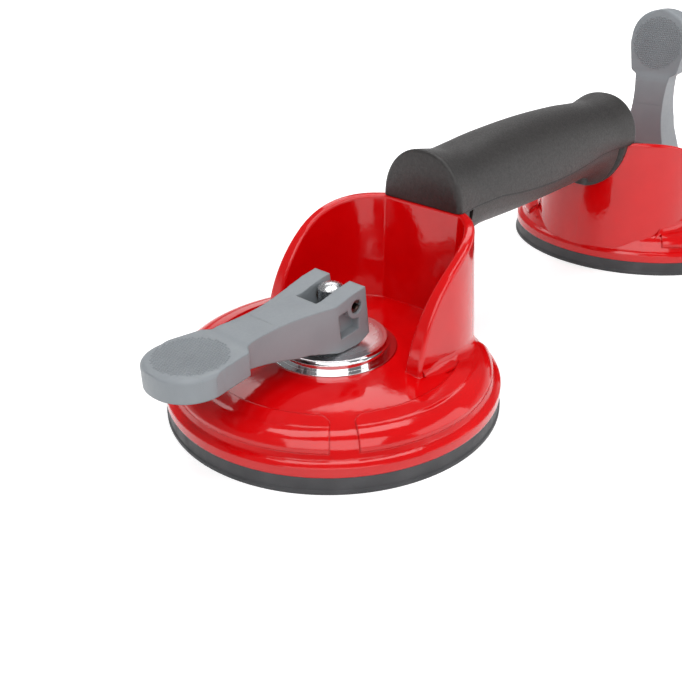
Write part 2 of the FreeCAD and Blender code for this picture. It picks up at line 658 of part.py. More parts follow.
def make_lever(cup, lift, swing):
    """Cam lever about its pin axis: forked foot with two ears, waisted arm, round thumb pad."""
    body = new_body(cup + "_lever")
    tip = "(thumb_centre + thumb_radius)"
    side = [
        ("-sole_front", SOLE),
        ("sole_flat", SOLE),
        ("(sole_flat + ear_back)/2", SOLE + " + sole_heel_mid"),
        ("ear_back", SOLE + " + sole_heel"),
        ("ear_back_top", "ear_top"),
        ("-ear_crest", "ear_crest_top"),
        ("-ear_front", "arm_top"),
        ("-thumb_centre", "arm_end_top"),
        ("-" + tip, "arm_end_top"),
        ("-" + tip, "-thumb_under"),
        ("-thumb_centre", "-thumb_under"),
        ("-arm_under_end", "-arm_under"),
        ("-arch_end", "-arch_height"),
    ]
    profile = loop_sketch(body, cup + "_lever_side", "XZ_Plane", [side])
    extrude(body, cup + "_lever_blank", "Pad", profile, "3*thumb_radius", both=True)

    around = "2*thumb_radius"
    frame = [
        ("-%s - %s" % (tip, around), "-" + around),
        (around, "-" + around),
        (around, around),
        ("-%s - %s" % (tip, around), around),
    ]
    inner = lever_plan("0", "(-%s/2)" % around)
    trim = loop_sketch(body, cup + "_lever_plan", "XY_Plane", [frame, inner])
    extrude(body, cup + "_lever_trim", "Pocket", trim, "4*thumb_radius", both=True)
    fillet(body, cup + "_thumb_rounding", "thumb_round", on_thumb_rim)

    fork = [
        ("-slot_end", "-slot_half"),
        (around, "-slot_half"),
        (around, "slot_half"),
        ("-slot_end", "slot_half"),
    ]
    slot = loop_sketch(body, cup + "_lever_fork", "XY_Plane", [fork])
    extrude(body, cup + "_lever_slot", "Pocket", slot, "4*thumb_radius", both=True)

    inner_start = "(slot_end + lever_wall)"
    half = "(ear_half - 2*lever_wall)"
    thumb = "(thumb_radius - lever_wall)"
    core = [
        ("-" + inner_start, "-" + half),
        ("-" + inner_start, half),
        ("-arm_start - lever_wall", half, "arm_waist", 1),
        ("-thumb_centre", thumb, thumb, -1),
        ("-thumb_centre - " + thumb, "0", thumb, -1),
        ("-thumb_centre", "-" + thumb, "arm_waist", 1),
        ("-arm_start - lever_wall", "-" + half),
    ]
    hollow = loop_sketch(body, cup + "_lever_core", "XY_Plane", [core],
                         lift="arm_end_top - lever_skin")
    extrude(body, cup + "_lever_hollow", "Pocket", hollow, "2*arm_under")
    rib = [
        ("-slot_end", "arm_end_top - lever_skin"),
        ("-thumb_centre - " + thumb, "arm_end_top - lever_skin"),
        ("-thumb_centre - " + thumb, "-thumb_under + lever_wall/2"),
        ("-thumb_centre", "-thumb_under + lever_wall/2"),
        ("-arm_under_end", "-arm_under + lever_wall/2"),
        ("-arch_end", "-arch_height + lever_wall/2"),
        ("-slot_end", "-arch_height + lever_wall/2"),
    ]
    rib_sketch = loop_sketch(body, cup + "_lever_rib_side", "XZ_Plane", [rib])
    extrude(body, cup + "_lever_rib", "Pad", rib_sketch, "lever_rib", both=True)

    window = [
        ("-sole_front - boss_round/4", "-pin_radius/4"),
        ("-boss_round", "0", "boss_round", -1),
        ("0", "-boss_round"),
        ("boss_round/4", "-boss_round"),
        ("boss_round/4", SOLE + " + 2*lever_skin"),
        ("-sole_front", SOLE + " + 2*lever_skin - boss_round/4"),
    ]
    window_sketch = loop_sketch(body, cup + "_lever_window", "XZ_Plane", [window], lift="ear_half")
    recess = extrude(body, cup + "_window_recess", "Pocket", window_sketch, "window_depth")
    mirror(body, cup + "_window_pair", "XZ_Plane", [recess])

    hole = circle_sketch(body, cup + "_lever_pin_hole", "XZ_Plane", [("0", "0", "pin_radius")])
    extrude(body, cup + "_lever_pin_bore", "Pocket", hole, "3*ear_half", both=True)
    place_on_pin(body, cup, lift, swing)
    return body


def make_pin(cup, lift, swing):
    """Rolled spring pin: a tube with a slit along it."""
    body = new_body(cup + "_pivot_pin")
    length = "2*(ear_half - pin_inset)"
    rings = circle_sketch(body, cup + "_pin_ring", "XZ_Plane",
                          [("0", "0", "pin_radius"), ("0", "0", "pin_bore")])
    extrude(body, cup + "_pin_tube", "Pad", rings, length, both=True)
    slit = [
        ("0", "-pin_slit/2"),
        ("2*pin_radius", "-pin_slit/2"),
        ("2*pin_radius", "pin_slit/2"),
        ("0", "pin_slit/2"),
    ]
    slit_sketch = loop_sketch(body, cup + "_pin_slit_side", "XZ_Plane", [slit])
    extrude(body, cup + "_pin_cut", "Pocket", slit_sketch, "3*ear_half", both=True)
    place_on_pin(body, cup, lift, swing)
    return body


# Handle, modelled about its own middle

def arch(half, base, rise, way, leg=None):
    """Three-centred arch on a flat base; way is "+" for a roof and "-" for a hull."""
    share = "(%s^2 + 2*%s*%s + 2*%s^2)" % (half, half, rise, rise)
    joint = "(%s*(%s + %s)^2/%s)" % (half, half, rise, share)
    joint_up = "(%s^2*(%s + 2*%s)/%s)" % (rise, half, rise, share)
    side_round = "(%s^2/%s)" % (rise, half)
    crown_round = "(%s*(%s + %s)/(2*%s))" % (half, half, rise, rise)
    bulge = 1 if way == "+" else -1
    corners = [
        ("-" + half, base, side_round, bulge),
        ("-" + joint, base + way + joint_up, crown_round, bulge),
        (joint, base + way + joint_up, side_round, bulge),
        (half, base),
    ]
    if leg:
        back = "-" if way == "+" else "+"
        corners += [(half, base + back + leg), ("-" + half, base + back + leg)]
    return corners


def arch_loft(body, name, kind, stations, way, leg=None):
    """Loft through arches; a station is (along, half width, base, rise)."""
    sections = [loop_sketch(body, "%s_section_%d" % (name, index), "YZ_Plane",
                            [arch(half, base, rise, way, leg)], lift=along)
                for index, (along, half, base, rise) in enumerate(stations)]
    return loft(body, name, kind, sections)


def mirrored_stations(stations):
    """The same stations at the handle's rear end, in order along the handle."""
    return [("-(%s)" % along, half, base, rise) for along, half, base, rise in reversed(stations)]


def parting_cut(body, name, sag, side):
    """Cut a shell along the parting line: level over the tongues and dipping in between."""
    reach = from_middle("tongue_root")
    away = "%s %s 2*grip_half" % (TOWER_TOP, side)
    dip_round = "((%s^2 + (%s)^2) / (2*(%s)))" % (reach, sag, sag)
    end = "(cup_pitch/2)"
    line = [
        ("-" + end, TOWER_TOP),
        (reach, TOWER_TOP, dip_round, -1),
        ("-" + reach, TOWER_TOP),
        (end, TOWER_TOP),
        (end, away),
        ("-" + end, away),
    ]
    profile = loop_sketch(body, name + "_line", "XZ_Plane", [line])
    extrude(body, name, "Pocket", profile, "4*grip_half", both=True)


def both_ways(stations):
    """Stations from the front end to the middle, and on to the rear end."""
    return stations + mirrored_stations(stations[:-1])


def from_middle(place_in_front_cup):
    """Distance along the handle from its middle for a place in the front cup's frame."""
    return "(%s - %s)" % (place_in_front_cup, HALF_PITCH)


def make_upper_shell():
    """Upper half of the grip: arched shell with closed ends, standing on both towers."""
    body = new_body("handle_upper_shell")
    base = TOWER_TOP
    neck = from_middle("(chord_wall + grip_neck)")
    stations = [
        (from_middle("chord_wall"), "grip_half", base, "grip_end_top"),
        (neck, "grip_half", base, "grip_neck_top"),
        ("0", "grip_half", base, "grip_mid_top"),
    ]
    arch_loft(body, "grip_roof", "AdditiveLoft", both_ways(stations), "+", leg="2*parting_sag")
    parting_cut(body, "roof_parting", "parting_sag", "-")
    fillet(body, "grip_end_rounding", "grip_edge", on_end_arches)
    core = arch("(grip_half - shell_wall)", base, "(grip_neck_top - shell_wall)", "+",
                leg="(shell_wall + parting_sag)")
    hollow = loop_sketch(body, "grip_hollow_section", "YZ_Plane", [core])
    extrude(body, "grip_hollow", "Pocket", hollow, "cup_pitch - 2*(chord_wall + shell_wall)",
            both=True)

    posts = screw_circles(body, "roof_boss_rings", "screw_boss", LUG_TOP)
    extrude(body, "roof_bosses", "Pad", posts, "grip_neck_top - lug_rise - shell_wall/2")
    nut_corner = "((nut_flats/2 + screw_gap)/cos(30))"
    hexes = [hexagon(along, nut_corner) for along in screw_places()]
    nut_seats = loop_sketch(body, "nut_seats", "XY_Plane", hexes, lift=LUG_TOP)
    extrude(body, "nut_pockets", "Pocket", nut_seats, "nut_height", flip=True)
    tips = screw_circles(body, "screw_tips", "screw_radius + screw_gap", LUG_TOP)
    extrude(body, "screw_tip_bores", "Pocket", tips, "nut_height + screw_radius", flip=True)
    place(body, HALF_PITCH)
    return body


def on_end_arches(edge):
    """Edges of the grip's end faces, apart from the foot they stand on."""
    box = edge.BoundBox
    reach = number(HALF_PITCH + " - chord_wall")
    return box.XLength < 0.01 and abs(abs(box.XMin) - reach) < 0.01 and box.ZLength > 1


def hexagon(across, corner):
    """Hexagon about a point on the handle's middle line, with corners at both sides."""
    return [("%s + %s*cos(%d)" % (across, corner, angle), "%s*sin(%d)" % (corner, angle))
            for angle in range(0, 360, 60)]


def screw_places():
    """Screws along the handle's middle line: two in each lug."""
    front = [from_middle("screw_near"), from_middle("screw_far")]
    return front + ["-" + place for place in front]


def screw_circles(body, name, radius, lift):
    """Circles round all four screws."""
    return circle_sketch(body, name, "XY_Plane",
                         [(along, "0", radius) for along in screw_places()], lift=lift)


def make_lower_shell():
    """Lower half of the grip: hull with a tongue against each tower and bosses under the lugs."""
    body = new_body("handle_lower_shell")
    base = TOWER_TOP
    root = from_middle("tongue_root")
    hull = [
        (root, "belly_half", base, "belly_end"),
        ("0", "belly_half", base, "belly_mid"),
    ]
    arch_loft(body, "belly", "AdditiveLoft", both_ways(hull), "-")
    foot = "(tower_centre + tower_radius + tongue_stand)"
    flare = []
    for share in (0, 0.15, 0.35, 0.6, 1):
        along = from_middle("(%s + %s*(tongue_root - %s))" % (foot, share, foot))
        drop = "(belly_end + (tongue_drop - belly_end)*(1 - %s)^3)" % share
        flare.append((along, "belly_half", base, drop))
    arch_loft(body, "front_flare", "AdditiveLoft", flare, "-")
    arch_loft(body, "rear_flare", "AdditiveLoft", mirrored_stations(flare), "-")

    grown = tower_outline("seat_gap + tongue_stand", "tower_centre - tongue_stand")
    tongue_plan = loop_sketch(body, "tongue_plan", "XY_Plane", at_both_ends(grown), lift=TOWER_TOP)
    extrude(body, "tongue_blocks", "Pad", tongue_plan, "tongue_drop", flip=True,
            taper="tower_draft")
    around = "2*tongue_drop"
    frame = [
        ("-" + around, "%s - %s" % (base, around)),
        (around, "%s - %s" % (base, around)),
        (around, base + " + 1"),
        ("-" + around, base + " + 1"),
    ]
    shield = arch("tongue_half", base, "tongue_drop", "-")
    trim = loop_sketch(body, "tongue_shield", "YZ_Plane", [frame, shield])
    extrude(body, "tongue_trim", "Pocket", trim, "2*cup_pitch", both=True)

    parting_cut(body, "belly_parting", "parting_sag + parting_gap", "+")

    core = arch("(belly_half - shell_wall)", base, "(belly_end - shell_wall)", "-",
                leg="shell_wall")
    hollow = loop_sketch(body, "belly_hollow_section", "YZ_Plane", [core])
    extrude(body, "belly_hollow", "Pocket", hollow, "cup_pitch - 2*chord_wall", both=True)

    posts = screw_circles(body, "belly_boss_rings", "screw_boss", LUG_UNDER)
    extrude(body, "belly_bosses", "Pad", posts, "belly_end - lug_drop - shell_wall/2", flip=True)
    heads = screw_circles(body, "head_rings", "head_radius + screw_gap", HEAD_SEAT)
    extrude(body, "head_wells", "Pocket", heads, "tongue_drop")
    shanks = screw_circles(body, "shank_rings", "screw_radius + screw_gap", LUG_UNDER)
    extrude(body, "shank_bores", "Pocket", shanks, "2*screw_seat")
    towers = at_both_ends(tower_outline("seat_gap", "-wing_sweep"))
    room = loop_sketch(body, "tower_room_plan", "XY_Plane", towers, lift=TOWER_TOP)
    extrude(body, "tower_room", "Pocket", room, "2*tongue_drop", taper="tower_draft")
    place(body, HALF_PITCH)
    return body


def at_both_ends(corners):
    """A loop from the front cup's frame, moved to the handle's, and its mirror at the rear."""
    front = [(from_middle(corner[0]),) + tuple(corner[1:]) for corner in corners]
    rear = []
    for corner in front:
        arc = (corner[2], -corner[3]) if len(corner) == 4 else ()
        rear.append(("-" + corner[0], corner[1]) + arc)
    return [front, rear]


def make_group(label, maker):
    """Four like pieces, one at each screw, as one node."""
    copies = []
    for index, along in enumerate(screw_places()):
        body = maker("%s_%d" % (label, index + 1))
        place(body, "%s + %s" % (HALF_PITCH, along))
        copies.append(body)
    group = doc.addObject("Part::Compound", label)
    group.Label = label
    group.Links = copies
    return group


def make_screw(name):
    """Pan-head machine screw with a socket, its head below and its end flush with the nut."""
    body = new_body(name)
    end = LUG_TOP + " + nut_height"
    low = HEAD_SEAT + " - head_height"
    profile = [
        ("0", low),
        ("head_radius/2", low),
        ("head_radius", HEAD_SEAT + " - head_height/2"),
        ("head_radius", HEAD_SEAT),
        ("screw_radius", HEAD_SEAT),
        ("screw_radius", end + " - screw_gap"),
        ("screw_radius - screw_gap", end),
        ("0", end),
    ]
    revolve(body, name + "_turn", loop_sketch(body, name + "_profile", "XZ_Plane", [profile]))
    socket = loop_sketch(body, name + "_socket_plan", "XY_Plane",
                         [hexagon("0", "(socket_across/2)")], lift=low)
    extrude(body, name + "_socket", "Pocket", socket, "socket_depth", flip=True)
    return body


def make_nut(name):
    """Hexagon nut on top of the lug."""
    body = new_body(name)
    plan = loop_sketch(body, name + "_plan", "XY_Plane", [hexagon("0", "(nut_flats/2/cos(30))")],
                       lift=LUG_TOP)
    add_circle(plan, "0", "0", "screw_radius")
    extrude(body, name + "_blank", "Pad", plan, "nut_height")
    return body


def make_model():
    nodes = []
    for cup, lift, swing in CUPS:
        nodes.append(make_pad(cup, lift))
        nodes.append(make_plate(cup, lift))
        nodes.append(make_stem(cup, lift))
        nodes.append(make_spring(cup, lift))
        nodes.append(make_housing(cup, lift))
        nodes.append(make_washer(cup, lift))
        nodes.append(make_lever(cup, lift, swing))
        nodes.append(make_pin(cup, lift, swing))
    nodes.append(make_upper_shell())
    nodes.append(make_lower_shell())
    nodes.append(make_group("handle_screws", make_screw))
    nodes.append(make_group("handle_nuts", make_nut))
    return nodes


def check(nodes):
    """Stop before a file is written if an object failed or a feature changed nothing."""
    for item in doc.Objects:
        if "Invalid" in item.State or "Error" in item.State:
            raise RuntimeError("%s: %s" % (item.Label, item.State))
        base = getattr(item, "BaseFeature", None)
        if base and abs(item.Shape.Volume - base.Shape.Volume) < 1e-3:
            raise RuntimeError(item.Label + " changed nothing")
    for node in nodes:
        if node.Shape.isNull() or not node.Shape.isValid():
            raise RuntimeError(node.Label + " has no valid shape")


nodes = make_model()
doc.recompute()
check(nodes)
os.makedirs("parts", exist_ok=True)
for node in nodes:
    node.Shape.exportStep(os.path.join("parts", node.Label + ".step"))
    print("%-22s solids %d volume %10.1f" % (node.Label, len(node.Shape.Solids), node.Shape.Volume))
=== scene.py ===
"""Looks of the floor tile suction lifter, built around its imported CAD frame. Metres, +Z up."""
import json
import math

import bmesh
import bpy
from mathutils import Matrix, Vector
from mathutils.bvhtree import BVHTree


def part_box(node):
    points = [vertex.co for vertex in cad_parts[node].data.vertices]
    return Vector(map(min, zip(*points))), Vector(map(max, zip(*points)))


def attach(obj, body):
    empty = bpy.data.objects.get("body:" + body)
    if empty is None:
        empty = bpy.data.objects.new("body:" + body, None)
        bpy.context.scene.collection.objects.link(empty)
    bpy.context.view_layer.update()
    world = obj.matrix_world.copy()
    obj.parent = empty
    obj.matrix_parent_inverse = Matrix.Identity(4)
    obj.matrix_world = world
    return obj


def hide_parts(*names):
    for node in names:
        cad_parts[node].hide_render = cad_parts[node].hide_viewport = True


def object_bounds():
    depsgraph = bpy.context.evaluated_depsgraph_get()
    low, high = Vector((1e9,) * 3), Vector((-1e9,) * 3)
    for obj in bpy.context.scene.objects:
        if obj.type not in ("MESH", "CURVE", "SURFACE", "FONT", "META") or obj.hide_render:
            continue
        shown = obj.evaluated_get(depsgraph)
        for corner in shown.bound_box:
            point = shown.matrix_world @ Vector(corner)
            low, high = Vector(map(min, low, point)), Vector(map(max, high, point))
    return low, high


MM = 0.001
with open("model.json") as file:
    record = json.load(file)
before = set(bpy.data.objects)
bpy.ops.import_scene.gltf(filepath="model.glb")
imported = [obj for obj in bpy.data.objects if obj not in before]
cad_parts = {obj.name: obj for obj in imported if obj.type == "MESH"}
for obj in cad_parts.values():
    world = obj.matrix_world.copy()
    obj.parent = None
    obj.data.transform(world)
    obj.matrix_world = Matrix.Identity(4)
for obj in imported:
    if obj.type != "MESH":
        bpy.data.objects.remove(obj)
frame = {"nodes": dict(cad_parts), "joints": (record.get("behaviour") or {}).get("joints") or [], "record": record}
NODES = frame["nodes"]
JOINTS = {joint["name"]: joint for joint in frame["joints"]}
CAD_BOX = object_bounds()

# Camera: in front of the part and to its left, turned a little about its own axis
VIEW_PLACE = Vector((-188.7, -190.1, 162.3)) * MM
VIEW_AZIMUTH = math.radians(-45.45)
VIEW_ELEVATION = math.radians(27.74)
VIEW_ROLL = math.radians(1.02)
VIEW_LENS = 45.0             # millimetres, on a sensor of SENSOR_WIDTH
SENSOR_WIDTH = 36
NEAREST_SEEN = 10 * MM

# Meshes
SAME_POINT = 0.001 * MM              # vertices closer than this are one
GRIP_SAME_POINT = 0.002 * MM
SAME_PLANE = math.radians(0.1)
MOULDING_CREASE = math.radians(32)   # edges that turn more than this stay hard
GRIP_CREASE = math.radians(40)

# Castings: rounding at the foot of a tower, along its two wings and round its end
TOWER_FOOT = 3.5 * MM        # radius
TOWER_CENTRE = 20.5 * MM     # centre of the tower's round end, from the cup's centre
FOOT_REACH = 60 * MM         # a section's search for the wall starts this far out
FOOT_START = 3 * MM          # the rounding is nothing here, from the cup's centre
FOOT_FADE = 8 * MM           # and has its full radius this much further on
FOOT_LEAST = 0.05            # least radius, as a share of the full one
FOOT_STEP = 1.2 * MM         # between sections along a wing
FOOT_SECTIONS = 14           # sections along a wing
FOOT_TURN = 3                # degrees between sections round the end
FOOT_ARC_STEPS = 9
PROBE_OUT = 2                # probes for the wall and the floor beside a corner, in radii from it
PROBE_LOW, PROBE_RISE = 0.5, 1.2
PROBE_NEAR, PROBE_FAR = 0.5, 1.6

# Washers: radii where the brushed flat top ends and the bright rim starts
WASHER_FLAT = 18.6 * MM
WASHER_RIM = 19.4 * MM

# Levers, from the pin axis along the arm (negative) and up
HEAD_TIP = -75 * MM          # end of the thumb pad
HEAD_ROUND = -61.5 * MM      # where the pad's round end runs into its straight sides
HEAD_HALF = 14.1 * MM        # half width of the pad
HEAD_FULLNESS = 2.15         # 2 is an ellipse, more is squarer
HEAD_TAPER = 2.5 * MM        # how far the pad's sides come in towards the arm
HEAD_TOP = 1.0 * MM
HEAD_TOP_END = -42.5 * MM    # from the shoulder to here the top rises to the arm's own
HEAD_UNDER = -6.9 * MM
HEAD_EDGE = 1.3 * MM         # rounding of the pad's long edges
HEAD_EDGE_STEPS = 4
SHOULDER_START = -47.2 * MM  # the pad's sides turn in to the arm
SHOULDER_END = -44.6 * MM
SHOULDER_SLICES = 8
ARM_UNDER_BACK = -24 * MM    # from here to the pad the arm gets thinner underneath
SLICE = 3 * MM               # between the cuts from the tip towards the pin
SLICES = 16
RIM_SLACK = 0.1 * MM         # how far an edge of the pad's rim may lie off its run

# Knurled thumb pads
KNURL_RADIUS = 12.0 * MM
KNURL_PITCH = 1.12 * MM
KNURL_ROW = 0.866            # distance of the rows, in pitches
KNURL_HEIGHT = 0.4 * MM
KNURL_SINK = 0.02 * MM       # how deep a dot's foot stands in the pad
KNURL_FOOT = 0.46            # radius of a dot's foot, in pitches
KNURL_TOP = 0.4              # radius of its top, as a share of its foot's
KNURL_SIDES = 6
KNURL_CENTRE = -60.2 * MM
LEVER_CLEAR = 20 * MM        # this high over the pin there is nothing of the lever

# Grip: its upper half, from the end face inwards as (distance, half width, top above the towers)
GRIP_STATIONS = ((0, 18.3, 20.4), (5, 17.7, 19.5), (13, 16.9, 18.2),
                 (24, 16.9, 18.9), (38, 17.4, 20.1), (65.4, 17.9, 20.9))
GRIP_EDGE = 1.5 * MM         # rounding of the end faces' edge
GRIP_EDGE_SHARES = (0, 0.12, 0.3, 0.5, 0.75, 1)   # sections over that rounding
GRIP_STEP = 1.2 * MM         # between the other sections
GRIP_ARC_STEPS = 40
GRIP_SQUARENESS = 2.15       # 2 is a half ellipse
GRIP_WALL = 3 * MM
GRIP_SEAM = 0.55 * MM        # how far the shells' meeting edges are rounded back
GRIP_SEAM_STEPS = 4
TONGUE_ROOT = 28.4 * MM      # level stretch of the parting line at each end
SEAM_UNDER = 0.45 * MM       # painted shade: near-black strip for the shade between the shells, from the parting line
SEAM_OVER = 0.5 * MM
SEAM_INSET = 0.06 * MM       # the strip's outside and inside, in from the shell's side
SEAM_DEPTH = 0.9 * MM
SEAM_SKIP = 3                # sections at each end without the strip

# Stage
FLOOR_HALF = 6               # metres
FLOOR_GLOW = 0.5             # what the camera sees of the floor's own light beside the object
FLOOR_GLOW_AWAY = 0.9        # and far from it
FLOOR_GLOW_REACH = (0.16, 0.5)   # from here to there, in metres from the middle, it changes
ROOM_LOW, ROOM_HIGH = 0.1, 0.3   # the room goes from white to its grey between these heights
ROOM_GREY = (0.25, 0.25, 0.255, 1)
WHITE = (1, 1, 1, 1)
LAMP_LEVEL = 1.85            # all lamps together
LAMP_AIM = (0.06, 0, 0.03)
LAMPS = (                    # (name, place, size in metres, what a mirror shows of it)
    ("key_box", (-0.65, -0.65, 0.95), (1.3, 0.9), 1.5),      # above and behind the camera
    ("top_strip", (0.1, 0.1, 1.1), (1.0, 0.5), 2.0),
    ("back_box", (0.75, 0.75, 1.0), (1.0, 0.4), 1.2),
    ("right_box", (0.6, -0.9, 0.5), (0.8, 0.6), 1.0),
)


# Node materials

class Shader:
    """A material with a Principled shader and short ways to add and link nodes."""

    def __init__(self, name, color, roughness, **inputs):
        self.material = bpy.data.materials.new(name)
        self.material.use_nodes = True
        self.tree = self.material.node_tree
        self.surface = self.tree.nodes["Principled BSDF"]
        self.surface.inputs["Base Color"].default_value = tuple(color) + (1,)
        self.surface.inputs["Roughness"].default_value = roughness
        for socket, value in inputs.items():
            self.surface.inputs[socket.replace("_", " ")].default_value = value

    def node(self, kind, **settings):
        made = self.tree.nodes.new("ShaderNode" + kind)
        for name, value in settings.items():
            setattr(made, name, value)
        return made

    def link(self, source, target):
        self.tree.links.new(source, target)

    def drive(self, socket, source):
        self.link(source, self.surface.inputs[socket])

    def place(self):
        return self.node("TexCoord").outputs["Object"]

    def noise(self, scale, detail=2.0, roughness=0.5, stretch=None):
        """Noise in object space; the scale is in grains per metre."""
        texture = self.node("TexNoise")
        texture.inputs["Scale"].default_value = scale
        texture.inputs["Detail"].default_value = detail
        texture.inputs["Roughness"].default_value = roughness
        place = self.place()
        if stretch:
            mapping = self.node("Mapping")
            mapping.inputs["Scale"].default_value = stretch
            self.link(place, mapping.inputs["Vector"])
            place = mapping.outputs["Vector"]
        self.link(place, texture.inputs["Vector"])
        return texture.outputs["Fac"]

    def ramp(self, source, low, high, start=0.3, end=0.7):
        """A value or colour that goes from low to high as the source goes from start to end."""
        ramp = self.node("ValToRGB")
        ends = ramp.color_ramp.elements
        for element, position, value in zip(ends, (start, end), (low, high)):
            element.position = position
            color = (value,) * 3 if isinstance(value, (int, float)) else tuple(value)
            element.color = color + (1,)
        self.link(source, ramp.inputs["Fac"])
        return ramp.outputs["Color"]

    def math(self, operation, *values):
        """A Math node; each value is an output or a number."""
        made = self.node("Math", operation=operation)
        for socket, value in zip(made.inputs, values):
            if isinstance(value, (int, float)):
                socket.default_value = value
            else:
                self.link(value, socket)
        return made.outputs[0]

    def distance_from(self, centre):
        """Distance in plan from an upright axis through the centre."""
        split = self.node("SeparateXYZ")
        self.link(self.place(), split.inputs[0])
        across = self.math("SUBTRACT", split.outputs["X"], centre.x)
        along = self.math("SUBTRACT", split.outputs["Y"], centre.y)
        squares = self.math("ADD", self.math("MULTIPLY", across, across),
                            self.math("MULTIPLY", along, along))
        return self.math("SQRT", squares)

    def relief(self, layers, edge=None):
        """Surface relief: softened edges first, then heights as (output, depth in metres)."""
        normal = None
        if edge:
            bevel = self.node("Bevel", samples=6)
            bevel.inputs["Radius"].default_value = edge
            normal = bevel.outputs["Normal"]
        for height, depth in layers:
            bump = self.node("Bump")
            bump.inputs["Distance"].default_value = depth
            self.link(height, bump.inputs["Height"])
            if normal:
                self.link(normal, bump.inputs["Normal"])
            normal = bump.outputs["Normal"]
        self.drive("Normal", normal)
        self.drive("Coat Normal", normal)


def red_paint():
    """Gloss red paint on a casting: slight orange peel and a little depth in the colour."""
    shader = Shader("red_casting", (0.62, 0.0, 0.0), 0.09, IOR=1.5)
    shader.drive("Base Color", shader.ramp(shader.noise(55, 3), (0.58, 0, 0.001),
                                           (0.66, 0.001, 0.002)))
    shader.drive("Roughness", shader.ramp(shader.noise(160, 3), 0.06, 0.12))
    shader.relief([(shader.noise(420, 1), 0.03 * MM), (shader.noise(90, 1), 0.08 * MM)], 0.8 * MM)
    return shader.material


def rubber():
    """Dark grey moulded rubber with a faint bloom."""
    shader = Shader("rubber", (0.045, 0.045, 0.048), 0.55)
    shader.drive("Base Color", shader.ramp(shader.noise(150, 4, 0.6), (0.026, 0.026, 0.029),
                                           (0.055, 0.055, 0.059)))
    shader.drive("Roughness", shader.ramp(shader.noise(300, 3), 0.45, 0.7))
    shader.relief([(shader.noise(1800, 3), 0.05 * MM)], 0.5 * MM)
    return shader.material


def lever_grey():
    """Satin cool grey moulding with a fine spark-eroded grain."""
    shader = Shader("lever_grey", (0.235, 0.26, 0.28), 0.42)
    shader.drive("Base Color", shader.ramp(shader.noise(70, 3), (0.225, 0.245, 0.262),
                                           (0.25, 0.272, 0.29)))
    shader.drive("Roughness", shader.ramp(shader.noise(900, 2), 0.36, 0.5))
    shader.relief([(shader.noise(2600, 2), 0.03 * MM)], 0.8 * MM)
    return shader.material


def grip_black(name, low, high):
    """Black moulding with a fine leather-like grain."""
    shader = Shader(name, low, 0.5)
    shader.drive("Base Color", shader.ramp(shader.noise(700, 4, 0.7), low, high))
    shader.drive("Roughness", shader.ramp(shader.noise(1500, 2), 0.4, 0.58))
    shader.relief([(shader.noise(1500, 3, 0.6), 0.1 * MM)], 0.6 * MM)
    return shader.material


def steel(name, color, roughness, grain, depth):
    """Bare or plated steel with a fine grain."""
    shader = Shader(name, color, roughness, Metallic=1.0)
    shader.drive("Roughness", shader.ramp(shader.noise(grain, 3), roughness * 0.8, roughness * 1.3))
    shader.relief([(shader.noise(grain, 2), depth)], 0.3 * MM)
    return shader.material


def washer_steel(cup):
    """Plated pressing: a brushed flat top inside a bright rolled rim and flange."""
    low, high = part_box(cup + "_thrust_washer")
    shader = Shader(cup + "_washer_steel", (0.78, 0.78, 0.79), 0.1, Metallic=1.0)
    brushed = shader.ramp(shader.distance_from((low + high) / 2), 1.0, 0.0, WASHER_FLAT, WASHER_RIM)
    grain = shader.noise(700, 4, 0.6, stretch=(0.12, 2.2, 1))
    rim = 0.07
    top = shader.math("MULTIPLY_ADD", grain, 0.3, 0.16)
    rise = shader.math("SUBTRACT", top, rim)
    shader.drive("Roughness", shader.math("MULTIPLY_ADD", brushed, rise, rim))
    shader.relief([(shader.math("MULTIPLY", grain, brushed), 0.012 * MM)], 0.3 * MM)
    return shader.material


def make_finishes():
    """Materials by the record's slot, or by a piece's first word and its slot."""
    return {
        "red_casting": red_paint(),
        "rubber": rubber(),
        "lever_grey": lever_grey(),
        "grip_upper": grip_black("grip_upper", (0.016, 0.0145, 0.014), (0.032, 0.029, 0.028)),
        "grip_lower": grip_black("grip_lower", (0.024, 0.021, 0.02), (0.042, 0.036, 0.034)),
        # Painted shade: a near-black finish for the strip that stands in for the shade in the groove between the
        # grip's shells
        "seam_grip_lower": grip_black("seam_black", (0.002, 0.002, 0.002), (0.006, 0.006, 0.006)),
        "front_washer_steel": washer_steel("front"),
        "rear_washer_steel": washer_steel("rear"),
        "stem_steel": steel("stem_steel", (0.66, 0.66, 0.67), 0.25, 1500, 0.01 * MM),
        "pin_steel": steel("pin_steel", (0.2, 0.16, 0.14), 0.35, 1500, 0.01 * MM),
        "plate_steel": steel("plate_steel", (0.6, 0.6, 0.6), 0.35, 600, 0.01 * MM),
        "spring_steel": steel("spring_steel", (0.5, 0.5, 0.51), 0.3, 1200, 0.01 * MM),
        "screw_steel": steel("screw_steel", (0.6, 0.6, 0.6), 0.3, 1500, 0.01 * MM),
        "nut_steel": steel("nut_steel", (0.6, 0.6, 0.6), 0.35, 1500, 0.01 * MM),
    }


FINISHES = make_finishes()


def finish_for(node, slot):
    """The finish for a piece: by its first word and slot if there is one, else by its slot."""
    return FINISHES.get(node.split("_")[0] + "_" + slot) or FINISHES[slot]


def dress_nodes():
    """Give every CAD node its finish."""
    for part in frame["record"]["subparts"]:
        piece = NODES[part["node"]]
        piece.data.materials.clear()
        piece.data.materials.append(finish_for(part["node"], part["material_slot"]))


# Mesh pieces

def new_piece(name, vertices, faces, body, slot, smooth=True):
    """A mesh piece in the part's frame that rides on a body."""
    mesh = bpy.data.meshes.new(name)
    mesh.from_pydata([tuple(vertex) for vertex in vertices], [], faces)
    mesh.polygons.foreach_set("use_smooth", [smooth] * len(mesh.polygons))
    mesh.update()
    piece = bpy.data.objects.new(name, mesh)
    bpy.context.scene.collection.objects.link(piece)
    mesh.materials.append(finish_for(name, slot))
    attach(piece, body)
    return piece


